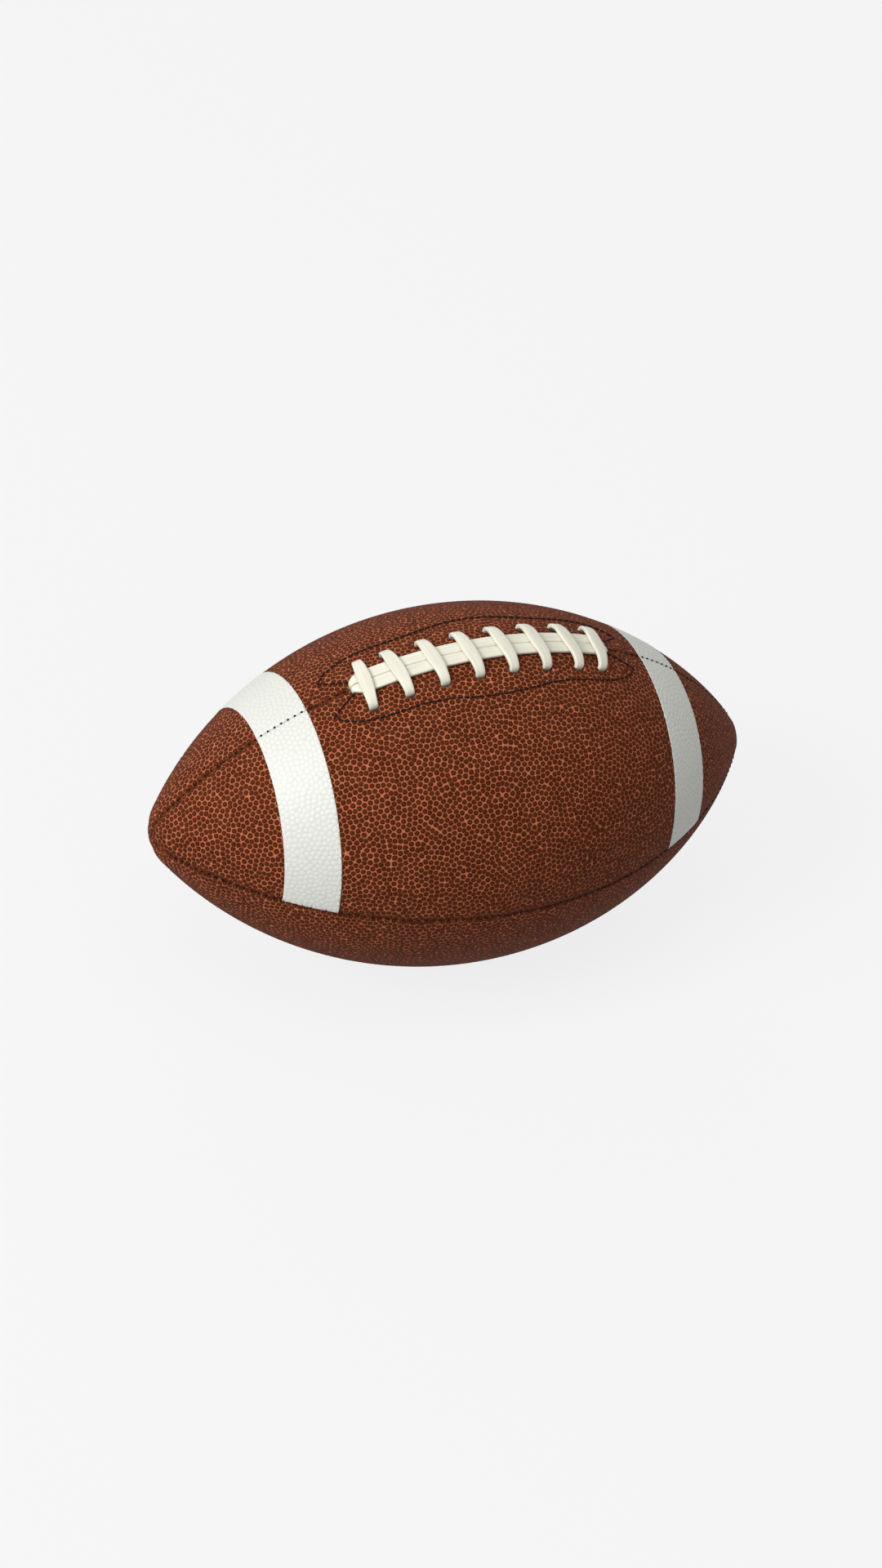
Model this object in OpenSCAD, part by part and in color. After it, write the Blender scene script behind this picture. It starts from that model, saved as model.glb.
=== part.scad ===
// American football, full size: four sewn cover panels over a bladder, laced on top
// X runs from point to point, +Z goes up through the lacing and -Y faces the viewer
// The origin is on the surface that the ball lies on, under its middle

/* [Ball] */
// Length from point to point
ball_l = 288; // [276:1:300]
// Diameter at the middle
ball_d = 163; // [156:1:172]
// Radius of the rounded points
point_r = 21; // [18:1:25]
// Depth of the flat that the ball's weight presses where it rests
rest_depth = 0.5; // [0.3:0.05:0.5]

/* [Cover] */
// Thickness of a cover panel
cover_t = 2; // [1.8:0.1:2.4]
// Radius of a panel's rolled edge beside a seam
roll_r = 3; // [2.6:0.1:3.6]
// Width of a seam's groove at the surface
groove_w = 2.4; // [2:0.1:2.8]
// Depth of a seam's groove
groove_depth = 1.6; // [1.4:0.05:1.7]
// How far the sewn edges stand in from the cover's inner face
turn_in = 5; // [3:0.5:6]
// Thickness of one turned-in edge
turn_in_t = 1.2; // [0.9:0.1:1.5]
// Radius of the seam thread
seam_thread_r = 0.25; // [0.2:0.01:0.27]

/* [Stripes] */
// Share of the cover between a stripe's round hole and point, less its width, that lies before the stripe
stripe_share = 0.312; // [0.28:0.002:0.4]
// Width of a stripe, along the ball
stripe_w = 21; // [16:1:25]
// Thickness of a stripe
stripe_t = 0.3; // [0.2:0.05:0.5]

/* [Lacing] */
// Distance between neighbouring lace holes in a row
hole_pitch = 16.1; // [15:0.1:16.8]
// Distance from the last full pitch to the end hole of a row
end_pitch = 12.1; // [11:0.1:13]
// How far the front row of holes is shifted toward the left point, and the rear row toward the right
row_shift = 1; // [0:0.1:1.6]
// Distance from the seam to a row of holes, along the surface
row_s = 13; // [12.5:0.1:14]
// Radius of a lace hole in the cover
hole_r = 2.7; // [2.6:0.05:3]
// Width of the slit under the long strands
slit_w = 1.6; // [1:0.1:2.4]
// Radius of the round hole at each end of the slit
keyhole_r = 3.5; // [3.4:0.05:3.8]
// Distance from the middle to the round holes, along the ball
keyhole_x = 60.5; // [60:0.5:63]

/* [Lace] */
// Width of a cross pass
cross_w = 6.2; // [5.4:0.1:6.6]
// Width of a long strand
strand_w = 5.7; // [5:0.1:5.9]
// Thickness of the lace
lace_t = 2; // [1.8:0.05:2.1]
// Width of the lace where a hole draws it in
drawn_w = 4.4; // [4:0.1:4.6]
// Gap between passes of the lace that lie on each other
lace_gap = 0.5; // [0.45:0.05:0.8]

/* [Inside] */
// Thickness of a lining
lining_t = 0.8; // [0.6:0.1:1.2]
// Thickness of a lace backing
backing_t = 1; // [0.8:0.1:1.4]
// Half the length of a lace backing
backing_x = 75.5; // [75:0.5:77]
// Thickness of the lace guard
guard_t = 0.8; // [0.6:0.1:1.2]
// Thickness of the bladder's wall
bladder_t = 1; // [0.7:0.1:1.6]

/* [Backing stitches] */
// Half the length of the stitched outline round the lacing
outline_x = 71.5; // [70:0.5:73]
// Distance from the seam to the stitched outline at the middle
outline_s = 24.5; // [23.5:0.5:25]
// Radius of the stitching thread
stitch_r = 0.4; // [0.3:0.05:0.5]

/* [Valve] */
// Angle of the valve below the rear seam
valve_turn = 45; // [35:1:55]
// Radius of the needle duct
needle_r = 1; // [0.8:0.05:1.2]
// Length of the needle duct
needle_l = 13; // [10:1:15]
// Radius of the valve plug's stem
plug_r = 2.2; // [2:0.1:2.6]
// Length of the valve plug
plug_l = 15; // [14.5:0.5:17]
// Wall of the valve housing round the plug
housing_wall = 1.1; // [1:0.1:1.6]
// Radius of the housing's foot inside the bladder
foot_r = 12; // [10:1:15]

/* [Hidden] */
$fn = 256;
// Clearance between bonded or nested pieces
fit = 0.05;
// Clearance beside the turned-in edges
edge_gap = 0.1;
// Clearance of the lace over the cover and round its inner passes
lay_gap = 0.35;
// Height of a point's arc over the long arc where the two meet, so that they cross cleanly
join_lift = 0.02;
// Height of a point's groove over the long arc's groove, for the same reason
groove_lift = 0.2;
// Angle by which the long arc's groove runs on into the groove round a point
groove_run = 2;
// Angle by which the groove round a point runs on past the point
point_run = 10;
// Overrun of every cut
over = 1;

// The ball's outline: one long arc between two point arcs that it meets almost without a corner
tip_x = ball_l / 2 - point_r;
meet_r = point_r - join_lift;
arc_r = (tip_x ^ 2 + (ball_d / 2) ^ 2 - meet_r ^ 2) / (ball_d - 2 * meet_r);
arc_c = arc_r - ball_d / 2;
arc_end = atan2(tip_x, arc_c);

// The circles of the rolled edges pass through the groove's bottom and its rim
rim = groove_w / 2;
chord = sqrt(rim ^ 2 + groove_depth ^ 2);
roll_lift = sqrt(roll_r ^ 2 - chord ^ 2 / 4);
roll_side = rim / 2 + roll_lift * groove_depth / chord;
roll_depth = groove_depth / 2 + roll_lift * rim / chord;
// The seam thread lies between the two rolled edges
seam_thread_depth = roll_depth - sqrt((roll_r + seam_thread_r + fit) ^ 2 - roll_side ^ 2);

// Depths of the layers below the cover's outer surface
lining_depth = cover_t + fit;
backing_depth = lining_depth + lining_t + fit;
inner_pass_depth = backing_depth + backing_t + lay_gap + lace_t / 2;
guard_depth = inner_pass_depth + lace_t / 2 + lay_gap;
bladder_depth = backing_depth;
turn_in_depth = cover_t + turn_in;

// Half the width of what lies under the lacing, and places along the ball
guard_x = keyhole_x + keyhole_r + lace_t + cross_w / 2;
guard_s = row_s + hole_r + lace_t;
seam_top_x = guard_x + over;
stripe_x = keyhole_x + stripe_share * (ball_l / 2 - keyhole_x - stripe_w);
thread_top_x = keyhole_x + keyhole_r + over;
thread_x = ball_l / 2 - point_r / 4;

// Lays the ball on the plane z = 0
module at_rest() translate([0, 0, ball_d / 2 - rest_depth]) children();

// Swaps the rear seam's place with the top seam's
module swap_seams() mirror([0, 1, -1]) children();

// Mirrors a rear piece to the front
module to_side(side) mirror([0, side < 0 ? 1 : 0, 0]) children();

// Half of the outline at a depth below the cover's outer surface, as [distance from the axis, place along it]
module solid_profile(depth) intersection() {
    translate([0, -ball_l]) square([ball_d, 2 * ball_l]);
    union() {
        intersection() {
            arc_sector();
            translate([-arc_c, 0]) circle(arc_r - depth);
        }
        for (end = [-1, 1]) translate([0, end * tip_x]) circle(point_r - depth);
    }
}

// The sector that the long arc fills between the points' middles
module arc_sector() {
    reach = 1.5 * arc_r;
    far = [reach * cos(arc_end) - arc_c, reach * sin(arc_end)];
    polygon([[0, -tip_x], [far.x, -far.y], [reach - arc_c, 0], far, [0, tip_x]]);
}

// The outline's part between two depths
module skin_profile(depth_1, depth_2) difference() {
    solid_profile(depth_1);
    solid_profile(depth_2);
}

// Turns a profile about the ball's long axis, from the rear seam up by the given angle
module turn_profile(angle = 90) rotate([90, 0, 90]) rotate_extrude(angle = angle) children();

// Sweeps a section along the rear seam, over the long arc and round both points
module sweep_seam() {
    sweep = arc_end + groove_run;
    translate([0, -arc_c, 0]) rotate([0, 0, 90 - sweep])
        rotate_extrude(angle = 2 * sweep) translate([arc_r, 0]) children();
    for (end = [0, 1]) mirror([end, 0, 0]) translate([tip_x, 0, 0]) rotate([0, 0, -point_run])
        rotate_extrude(angle = 90 - arc_end + point_run) translate([point_r + groove_lift, 0]) children();
}

module groove_section() difference() {
    translate([-groove_depth, -roll_side]) square([groove_depth + over, 2 * roll_side]);
    for (side = [-1, 1]) translate([-roll_depth, side * roll_side]) circle(roll_r);
}

// The four grooves meet round a small hole at each point
module seam_groove() sweep_seam() groove_section();
module point_hole() rotate([0, 90, 0]) cylinder(r = groove_depth / 2, h = ball_l + over, center = true);

// The seam thread runs along the rear seam's long arc, between two places along the ball
module seam_thread(x_1, x_2)
    translate([0, -arc_c, 0]) rotate([0, 0, 90 - asin(x_2 / arc_r)])
    rotate_extrude(angle = asin(x_2 / arc_r) - asin(x_1 / arc_r))
    translate([arc_r - seam_thread_depth, 0]) circle(seam_thread_r);

// A turned-in edge of a panel along the rear seam, between two places along the ball
module turned_in_edge(x_1, x_2) linear_extrude(turn_in_t) mirror([1, -1]) intersection() {
    skin_profile(cover_t / 2, turn_in_depth);
    translate([0, x_1]) square([ball_d, x_2 - x_1]);
}

// The ring that clears the turned-in edges on both sides of one seam plane
module edge_clearance(wall) linear_extrude(2 * (turn_in_t + edge_gap + wall), center = true)
    for (side = [0, 1]) mirror([0, side]) mirror([1, -1])
        skin_profile(0, turn_in_depth + edge_gap + wall);

// Lacing: places on the cover are given along the ball, along the surface from the seam, and above it
function radius_at(x) = sqrt(arc_r ^ 2 - x ^ 2) - arc_c;
function angle_at(x, s) = s / radius_at(x) * 180 / PI;

module at_surface(x, s)
    rotate([-angle_at(x, s), 0, 0]) translate([0, 0, -arc_c])
    rotate([0, asin(x / arc_r), 0]) translate([0, 0, arc_r]) children();

row_l = 6 * hole_pitch + end_pitch;
front_row = [for (i = [0:7]) (i < 7 ? i * hole_pitch : row_l) - row_l / 2 - row_shift];
rear_row = [for (i = [0:7]) -front_row[7 - i]];

// Cuts the lacing's openings out of a layer of the rear laced panel, or of its mirror image
module lacing_cuts(side, radius_gain) {
    row = side > 0 ? rear_row : front_row;
    depth = guard_depth + over;
    for (x = row)
        at_surface(x, row_s) translate([0, 0, -depth]) cylinder(r = hole_r + radius_gain, h = depth + over);
    for (x = [-keyhole_x, keyhole_x])
        at_surface(x, 0) translate([0, 0, -depth]) cylinder(r = keyhole_r + radius_gain, h = depth + over);
    translate([-keyhole_x, -over, 0]) cube([2 * keyhole_x, over + slit_w / 2 + radius_gain, ball_d]);
}

module cover_color() color("#4a2016") children();

// A laced panel between the rear and top seams, or its mirror image at the front
module upper_panel(side) at_rest() to_side(side) cover_color() difference() {
    union() {
        turn_profile() skin_profile(0, cover_t);
        turned_in_edge(-tip_x, tip_x);
        swap_seams() for (end = [0, 1]) mirror([end, 0, 0]) turned_in_edge(seam_top_x, tip_x);
    }
    seam_groove();
    swap_seams() seam_groove();
    point_hole();
    lacing_cuts(side, 0);
}

// A plain panel between the rear and bottom seams, or its mirror image at the front
module lower_panel(side) at_rest() to_side(side) cover_color() mirror([0, 0, 1]) difference() {
    union() {
        turn_profile() skin_profile(0, cover_t);
        turned_in_edge(-tip_x, tip_x);
        swap_seams() turned_in_edge(-tip_x, tip_x);
    }
    seam_groove();
    swap_seams() seam_groove();
    point_hole();
    translate([-ball_l / 2, -over, ball_d / 2 - rest_depth]) cube([ball_l, ball_d, over + rest_depth]);
}

module cover_panel_upper_front() upper_panel(-1);
module cover_panel_upper_rear() upper_panel(1);
module cover_panel_lower_front() lower_panel(-1);

module cover_panel_lower_rear() difference() {
    lower_panel(1);
    at_rest() at_valve() translate([0, 0, -turn_in_depth]) cylinder(r = neck_r + fit, h = turn_in_depth + over);
}

// A lining fills its panel up to the turned-in edges
module lining() difference() {
    turn_profile() skin_profile(lining_depth, lining_depth + lining_t);
    translate([-ball_l / 2, -over, -over]) cube([ball_l, ball_d, over + turn_in_t + edge_gap]);
    translate([-ball_l / 2, -over, -over]) cube([ball_l, over + turn_in_t + edge_gap, ball_d]);
}

module lining_color() color("#d8d2c2") children();

module upper_lining(side) at_rest() to_side(side) lining_color() difference() {
    lining();
    lacing_cuts(side, edge_gap);
}

module lower_lining(side) at_rest() to_side(side) lining_color() mirror([0, 0, 1]) lining();

module lining_upper_front() upper_lining(-1);
module lining_upper_rear() upper_lining(1);
module lining_lower_front() lower_lining(-1);

module lining_lower_rear() difference() {
    lower_lining(1);
    at_rest() at_valve() translate([0, 0, -turn_in_depth]) cylinder(r = neck_r + fit, h = turn_in_depth);
}

// The stitched outline on one side of the seam, as shares of its half length and of its half width
outline_shares = [
    [-0.885, 0.21], [-0.94, 0.31], [-0.985, 0.40], [-0.99, 0.46], [-0.93, 0.62], [-0.82, 0.76], [-0.68, 0.82],
    [-0.50, 0.83], [-0.34, 0.88], [-0.16, 0.97], [0, 1], [0.16, 0.97], [0.34, 0.88], [0.50, 0.83], [0.68, 0.82],
    [0.82, 0.76], [0.93, 0.62], [0.99, 0.46], [0.985, 0.40], [0.94, 0.31], [0.885, 0.21]
];

// The backing reaches a little past the stitches: a straight-sided outline in plan
module backing_plan(margin) {
    end_s = outline_s * 0.75;
    x = backing_x + margin;
    s = outline_s + backing_x - outline_x + margin;
    straight_x = x * 0.8;
    half = [[-x, end_s], [-straight_x, s], [straight_x, s], [x, end_s]];
    polygon(concat(half, [for (p = half) -p]));
}

module guard_plan(margin) square(2 * [guard_x + margin, guard_s + margin], center = true);

// The part of the top between two depths that lies in a plan
module top_layer(depth_1, depth_2) intersection() {
    rotate([45, 0, 0]) turn_profile() intersection() {
        skin_profile(depth_1, depth_2);
        translate([0, -tip_x]) square([ball_d, 2 * tip_x]);
    }
    linear_extrude(ball_d) children();
}

module lace_backing(side) at_rest() to_side(side) color("#e4dccb") difference() {
    top_layer(backing_depth, backing_depth + backing_t) backing_plan(0);
    translate([-ball_l / 2, -ball_d, 0]) cube([ball_l, ball_d + turn_in_t + edge_gap, ball_d]);
    lacing_cuts(side, 2 * edge_gap);
}

module lace_backing_front() lace_backing(-1);
module lace_backing_rear() lace_backing(1);

module lace_guard() at_rest() color("#cfc8b6") top_layer(guard_depth, guard_depth + guard_t) guard_plan(0);

// The bladder takes the room that the cover leaves: it is pressed in at the seam edges and under the lacing
module bladder_form(wall) difference() {
    turn_profile(360) solid_profile(bladder_depth + wall);
    edge_clearance(wall);
    swap_seams() edge_clearance(wall);
    top_layer(0, backing_depth + backing_t + fit + wall) backing_plan(over + wall);
    top_layer(0, guard_depth + guard_t + fit + wall) guard_plan(over + wall);
}

module bladder() at_rest() color("#2b2b2d") difference() {
    bladder_form(0);
    bladder_form(bladder_t);
    at_valve() translate([0, 0, -foot_depth - over]) cylinder(r = neck_r + fit, h = foot_depth + over);
}

// Valve: a housing moulded to the bladder, with a plug pushed into it from outside
neck_r = plug_r + fit + housing_wall;
head_r = plug_r + housing_wall / 2;
head_t = lining_t;
plug_top_depth = rest_depth;
foot_depth = bladder_depth + bladder_t + fit + plug_r;

module at_valve() rotate([-90 - valve_turn, 0, 0]) translate([0, 0, ball_d / 2]) children();

module valve_housing() at_rest() color("#3a3a3c") difference() {
    union() {
        difference() {
            at_valve() translate([0, 0, -foot_depth]) cylinder(r = foot_r, h = foot_depth - bladder_depth);
            mirror([0, 0, 1]) turn_profile() skin_profile(0, bladder_depth + bladder_t + fit);
        }
        at_valve() translate([0, 0, -plug_top_depth - plug_l]) cylinder(r = neck_r, h = plug_l);
    }
    at_valve() translate([0, 0, -plug_top_depth - plug_l - over])
        cylinder(r = plug_r + fit, h = plug_l + 2 * over);
    at_valve() translate([0, 0, -plug_top_depth - head_t]) cylinder(r = head_r + fit, h = head_t + over);
}

module valve_plug() at_rest() at_valve() color("#1d1d1f") difference() {
    union() {
        translate([0, 0, -plug_top_depth - plug_l]) cylinder(r = plug_r, h = plug_l);
        translate([0, 0, -plug_top_depth - head_t]) cylinder(r = head_r, h = head_t);
    }
    translate([0, 0, -plug_top_depth - needle_l]) cylinder(r = needle_r, h = needle_l + over);
}

// A stripe lies on the cover between its seams, at the right end for end = 0 and at the left for end = 1
module stripe(end, side) at_rest() to_side(side) mirror([end, 0, 0]) color("#e9e6df") difference() {
    turn_profile() intersection() {
        skin_profile(-stripe_t, -fit / 2);
        translate([0, stripe_x]) square([ball_d, stripe_w]);
    }
    seam_groove();
    swap_seams() seam_groove();
}

module stripe_left_front() stripe(1, -1);
module stripe_left_rear() stripe(1, 1);
module stripe_right_front() stripe(0, -1);
module stripe_right_rear() stripe(0, 1);

module thread_color() color("#17100e") children();

module seam_thread_rear() at_rest() thread_color() seam_thread(-thread_x, thread_x);
module seam_thread_front() at_rest() to_side(-1) thread_color() seam_thread(-thread_x, thread_x);
module seam_thread_bottom()
    at_rest() mirror([0, 0, 1]) swap_seams() thread_color() seam_thread(-thread_x, thread_x);
module seam_thread_top_left() at_rest() swap_seams() thread_color() seam_thread(-thread_x, -thread_top_x);
module seam_thread_top_right() at_rest() swap_seams() thread_color() seam_thread(thread_top_x, thread_x);

// Sweeping a thread or the lace: each station is [x, s, h, turn of the width, half width, half thickness]
function at(p) =
    let (a = angle_at(p[0], p[1]), up = (radius_at(p[0]) + arc_c) / arc_r, lean = p[0] / arc_r)
    let (rho = radius_at(p[0]) + p[2] * up)
    [p[0] + p[2] * lean, rho * sin(a), rho * cos(a)];

function width_way(p) =
    let (a = angle_at(p[0], p[1]), up = (radius_at(p[0]) + arc_c) / arc_r, lean = p[0] / arc_r)
    cos(p[3]) * [up, -lean * sin(a), -lean * cos(a)] + sin(p[3]) * [0, cos(a), -sin(a)];

function unit(v) = v / norm(v);

// Catmull-Rom spline through the stations
function spline(p, i, t) =
    let (n = len(p), a = p[max(i - 1, 0)], b = p[i], c = p[min(i + 1, n - 1)], d = p[min(i + 2, n - 1)])
    0.5 * (2 * b + (c - a) * t + (2 * a - 5 * b + 4 * c - d) * t ^ 2 + (3 * b - a - 3 * c + d) * t ^ 3);

function smooth(p, steps) = concat(
    [for (i = [0:len(p) - 2], k = [0:steps - 1]) spline(p, i, k / steps)],
    [p[len(p) - 1]]
);

// One ring of the swept tube, with its section given in half widths and half thicknesses
function ring(stations, i, section) =
    let (n = len(stations), p = stations[i], here = at(p))
    let (ahead = unit(at(stations[min(i + 1, n - 1)]) - at(stations[max(i - 1, 0)])))
    let (wide = width_way(p), side = unit(wide - (wide * ahead) * ahead), thick = cross(ahead, side))
    [for (q = section) here + q.x * p[4] * side + q.y * p[5] * thick];

module swept(stations, section) {
    sides = len(section);
    rings = [for (i = [0:len(stations) - 1]) ring(stations, i, section)];
    points = [for (r = rings, q = r) q];
    last = (len(rings) - 1) * sides;
    walls = [for (i = [0:len(rings) - 2], k = [0:sides - 1])
        let (a = i * sides + k, b = i * sides + (k + 1) % sides)
        each [[a, b + sides, b], [a, a + sides, b + sides]]];
    start_cap = [for (k = [1:sides - 2]) [0, k, k + 1]];
    end_cap = [for (k = [1:sides - 2]) [last, last + k + 1, last + k]];
    polyhedron(points, concat(walls, start_cap, end_cap));
}

thread_section = [for (k = [0:5]) [cos(60 * k), sin(60 * k)]];

module backing_stitches(side) {
    route = [for (q = outline_shares)
        [q.x * outline_x, side * q.y * outline_s, stitch_r + fit, 90, stitch_r, stitch_r]];
    at_rest() thread_color() swept(smooth(route, 3), thread_section);
}

module backing_stitches_front() backing_stitches(-1);
module backing_stitches_rear() backing_stitches(1);

// The lace is a flat strap with rounded edges
strap_section = [[1, -0.45], [1, 0.45], [0.7, 1], [-0.7, 1], [-1, 0.45], [-1, -0.45], [-0.7, -1], [0.7, -1]];

// Heights of the lace: the long strands lie on the cover and the cross passes lie on the strands
strand_h = lay_gap + lace_t / 2;
cross_h = strand_h + lace_t + lace_gap;
inner_h = -inner_pass_depth;
strand_s = strand_w / 2 + lace_gap / 2;
drawn_t = lace_t * 1.15;
keyhole_s = drawn_t / 2 + lace_gap;

// How far a station at a share of the way from the seam to a hole is drawn in by that hole
function drawn(share) = min(1, max(0, (share - 0.5) / 0.45));
function lace_station(x, s, h, turn, draw, width) = [
    x, s, h, turn, (width + draw * (drawn_w - width)) / 2, (lace_t + draw * (drawn_t - lace_t)) / 2
];

// Half a cross pass, as shares of the way from the seam to a hole and of the pass's height over the seam
cross_shares = [[0.15, 1], [0.45, 0.97], [0.73, 0.83], [0.93, 0.5], [1, 0.05], [1, -0.6]];

// A cross pass comes up a rear hole, goes over the strands and down a front hole
function cross_pass(i) =
    let (middle = (rear_row[i] + front_row[i]) / 2, skew = (rear_row[i] - front_row[i]) / 2)
    [for (side = [1, -1], q = side > 0 ? reversed(cross_shares) : cross_shares)
        lace_station(middle + side * q[0] * skew, side * q[0] * row_s, q[1] * cross_h,
            360, drawn(q[0]), cross_w)];

// An inner pass runs under the backings, as shares of the way from one hole to the next and of its depth
inner_shares = [[0.04, 0.93], [0.15, 1], [0.5, 1], [0.85, 1], [0.96, 0.93]];

function inner_pass(x_1, s_1, x_2, s_2) =
    let (turn = -atan2(x_2 - x_1, s_2 - s_1))
    [for (q = inner_shares) let (along = min(1, 4 - abs(8 * q[0] - 4)))
        lace_station(x_1 + q[0] * (x_2 - x_1), s_1 + q[0] * (s_2 - s_1), q[1] * inner_h,
            360 + along * turn, 1 - along, cross_w)];

// A strand's way down into a round hole: shares of the place along the ball, of the strand's distance from
// the seam, of the turn and of the height. The strand turns on edge before it goes below the surface
dive_shares = [[0.93, 1, 0, 1], [0.965, 1, 0.12, 1.05], [0.99, 0.6, 0.6, 1], [1, 0.05, 0.98, 0.25]];

function dive(end, side, turn, turn_gain) = concat(
    [for (q = dive_shares)
        lace_station(end * q[0] * keyhole_x, side * (q[1] * strand_s + (1 - q[1]) * keyhole_s), q[3] * strand_h,
            turn + q[2] * turn_gain, min(1, 1.5 * q[2]), strand_w)],
    [for (q = [0.3, 0.6])
        lace_station(end * keyhole_x, side * keyhole_s, q * inner_h, turn + turn_gain, 1, strand_w)]
);

function reversed(list) = [for (i = [len(list) - 1:-1:0]) list[i]];

// A long strand, from the left end to the right
strand_x = dive_shares[0][0] * keyhole_x;
strand_count = 8;
function strand(side, turn) = [for (i = [1:strand_count - 1])
    lace_station((2 * i / strand_count - 1) * strand_x, side * strand_s, strand_h, turn, 0, strand_w)];

// The turn inside, from the front strand to the rear one
turn_h = inner_h - lace_t / 2 + drawn_t / 2 + keyhole_s;
inner_turn = [for (a = [-60:30:60])
    lace_station(keyhole_x, keyhole_s * sin(a), turn_h - keyhole_s * cos(a), 180, 1, strand_w)];

tail_l = 3 * lace_t;
lace_route = concat(
    [for (q = [[1, 1], [0.4, 1], [0.1, 0.9]])
        lace_station(-keyhole_x, -keyhole_s - q[0] * tail_l, q[1] * inner_h, 0, 1, cross_w)],
    reversed(dive(-1, -1, 90, -90)), strand(-1, 90), dive(1, -1, 90, 90),
    inner_turn,
    reversed(dive(1, 1, 270, -90)), reversed(strand(1, 270)), dive(-1, 1, 270, 90),
    inner_pass(-keyhole_x, keyhole_s, rear_row[0], row_s),
    [for (i = [0:6]) each concat(cross_pass(i), inner_pass(front_row[i], -row_s, rear_row[i + 1], row_s))],
    cross_pass(7),
    [for (q = [[0.1, 0.95], [0.4, 1], [1, 1]])
        lace_station(front_row[7], q[0] * tail_l - row_s, q[1] * inner_h, 360, 1, cross_w)]
);

// The least gap between passes that lie apart along the lace, measured between the points of their rings
function ring_gap(ring_1, ring_2) = min([for (a = ring_1, b = ring_2) norm(a - b)]);
function least_gap(rings, centres, apart, reach) = min([
    for (i = [0:len(rings) - 1]) for (j = [i + apart:1:len(rings) - 1])
        if (norm(centres[i] - centres[j]) < reach) ring_gap(rings[i], rings[j])
]);

module lace() {
    stations = smooth(lace_route, 2);
    rings = [for (i = [0:len(stations) - 1]) ring(stations, i, strap_section)];
    gap = least_gap(rings, [for (q = stations) at(q)], 12, cross_w + lace_t);
    echo(lace_rings = len(rings), lace_gap_mm = gap);
    at_rest() color("#e8dfc8") swept(stations, strap_section);
}

cover_panel_upper_front();
cover_panel_upper_rear();
cover_panel_lower_front();
cover_panel_lower_rear();
lining_upper_front();
lining_upper_rear();
lining_lower_front();
lining_lower_rear();
bladder();
valve_housing();
valve_plug();
lace();
lace_backing_front();
lace_backing_rear();
lace_guard();
stripe_left_front();
stripe_left_rear();
stripe_right_front();
stripe_right_rear();
seam_thread_front();
seam_thread_rear();
seam_thread_bottom();
seam_thread_top_left();
seam_thread_top_right();
backing_stitches_front();
backing_stitches_rear();
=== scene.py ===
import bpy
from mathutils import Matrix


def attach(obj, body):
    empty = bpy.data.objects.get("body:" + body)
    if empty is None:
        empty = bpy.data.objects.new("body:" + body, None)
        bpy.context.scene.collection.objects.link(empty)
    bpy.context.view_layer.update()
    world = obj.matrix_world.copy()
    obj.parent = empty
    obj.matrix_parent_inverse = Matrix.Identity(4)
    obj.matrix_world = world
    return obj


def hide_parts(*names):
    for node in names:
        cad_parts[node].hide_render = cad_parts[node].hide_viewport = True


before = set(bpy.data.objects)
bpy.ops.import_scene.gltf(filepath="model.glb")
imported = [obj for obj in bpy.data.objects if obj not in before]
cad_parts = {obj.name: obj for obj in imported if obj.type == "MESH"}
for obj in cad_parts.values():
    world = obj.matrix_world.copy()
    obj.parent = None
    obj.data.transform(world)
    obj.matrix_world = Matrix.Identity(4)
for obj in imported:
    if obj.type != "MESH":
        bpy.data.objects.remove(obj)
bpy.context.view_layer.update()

import math

import bmesh
import bpy
import numpy as np
from mathutils import Matrix, Vector
from mathutils.geometry import delaunay_2d_cdt

mm = 0.001
quarter = math.pi / 2
tiny = 1e-6
print("frame loaded:", len(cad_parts), "nodes")


# The camera stands at the photograph's viewpoint, in the ball's own frame
view = {
    "place": (-0.46129, -0.74947, 0.92147),
    "turn": ((0.91127, 0.16090, -0.37907), (-0.37822, 0.69112, -0.61588), (0.16289, 0.70460, 0.69066)),
    "lens": 61.72, "shift": (-0.00804, -0.00084),
}
camera = bpy.data.objects.new("camera", bpy.data.cameras.new("camera"))
bpy.context.collection.objects.link(camera)
camera.matrix_world = Matrix.Translation(view["place"]) @ Matrix(view["turn"]).to_4x4()
camera.data.lens = view["lens"]
camera.data.shift_x, camera.data.shift_y = view["shift"]
bpy.context.scene.camera = camera
print("camera set")


# The ball's outline, in millimetres: a long arc between two point arcs
ball = {
    "length": 288.0, "diameter": 163.0, "pointRadius": 21.0, "restDepth": 0.5,
    "joinLift": 0.02,  # how high a point's arc stands over the long arc where the two meet
    "pointHole": 0.8,  # radius of the hole where the four panels meet at a point
}
pointR = ball["pointRadius"]
tipX = ball["length"] / 2 - pointR
meetR = pointR - ball["joinLift"]
arcR = (tipX**2 + (ball["diameter"] / 2) ** 2 - meetR**2) / (ball["diameter"] - 2 * meetR)
arcSink = arcR - ball["diameter"] / 2
arcEnd = math.atan2(tipX, arcSink)
joinU = arcR * arcEnd
endU = joinU + pointR * (quarter - arcEnd) - ball["pointHole"]
midHeight = ball["diameter"] / 2 - ball["restDepth"]


def outline(u):
    # place along the axis, distance from it and slope, at a way u over the surface from the middle
    far = np.abs(u)
    slope = np.where(far < joinU, far / arcR, arcEnd + (far - joinU) / pointR)
    x = np.where(far < joinU, arcR * np.sin(slope), tipX + pointR * np.sin(slope))
    r = np.where(far < joinU, arcR * np.cos(slope) - arcSink, pointR * np.cos(slope))
    return np.sign(u) * x, r, np.sign(u) * slope


def onBall(u, around, depth):
    # a point below the surface, in metres; around starts at the rear seam and goes up over the lacing
    x, r, slope = outline(u)
    out = np.stack([np.sin(slope), np.cos(slope) * np.cos(around), np.cos(slope) * np.sin(around)], -1)
    skin = np.stack([x, r * np.cos(around), r * np.sin(around) + midHeight], -1)
    point = skin - out * np.asarray(depth)[..., None]
    point[..., 2] = np.maximum(point[..., 2], 0)  # flat where it rests
    return point * mm


def radiusAt(x):
    return math.sqrt(arcR**2 - x**2) - arcSink


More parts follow.
